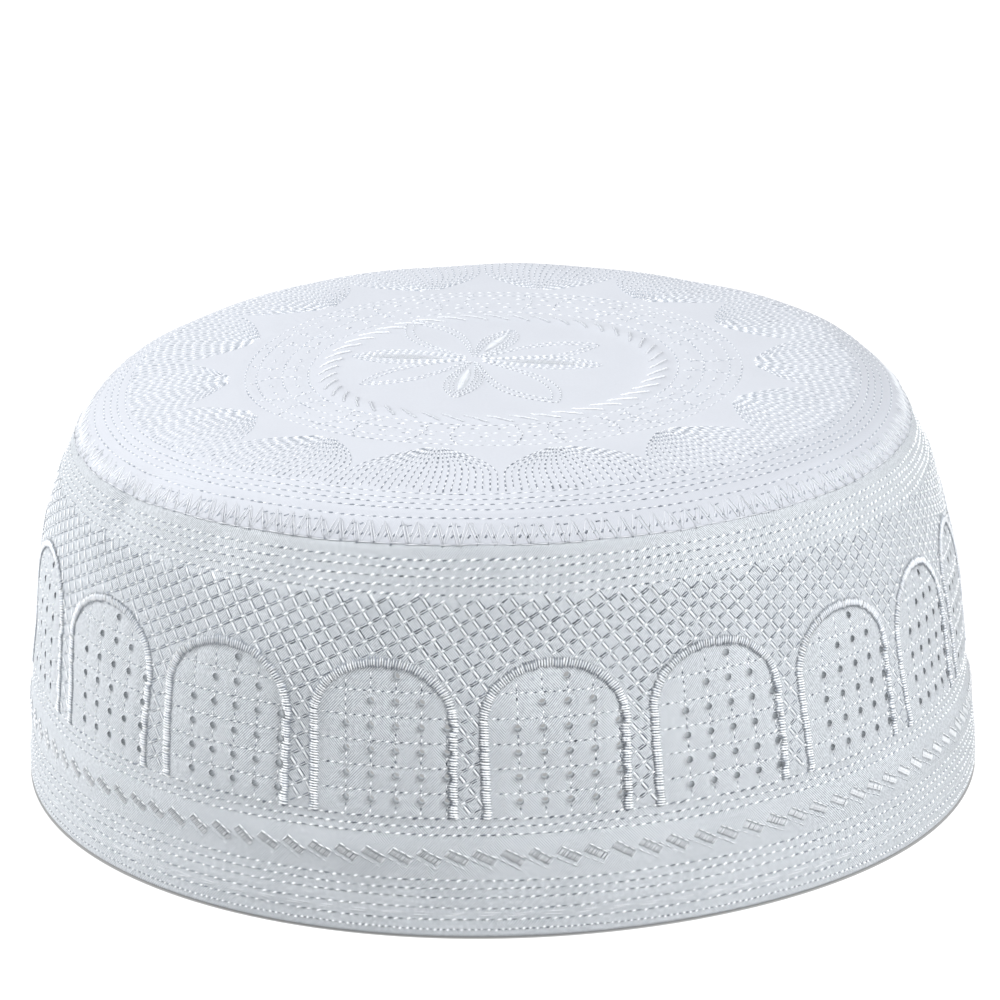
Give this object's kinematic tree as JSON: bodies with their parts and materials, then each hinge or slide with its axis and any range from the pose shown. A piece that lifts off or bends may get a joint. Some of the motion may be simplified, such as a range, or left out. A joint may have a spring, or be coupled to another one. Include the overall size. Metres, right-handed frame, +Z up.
{
  "type": "kufi prayer cap",
  "caption": "Round brimless kufi cap of white embroidered cotton: a tall tapered side band with pierced arches, a low domed crown lapped over it, and a turned-up hem.",
  "frame": {"origin": "middle of the cap's box at the height of the rim, on the surface that the cap stands on", "axes": "+Z up through the crown, -Y towards the side that the picture is taken from, +X to that side's right"},
  "size_m": [0.1908, 0.1882, 0.0821],
  "materials": {
    "crown_cotton": "fine white twill with a faint blue cast, covered with white embroidery",
    "band_cotton": "fine white twill, quilted with white embroidery thread and pierced with small eyelets",
    "hem_cotton": "plain white twill"
  },
  "bodies": {
    "root": {"crown": "crown_cotton", "side_band": "band_cotton", "hem": "hem_cotton"}
  },
  "joints": []
}
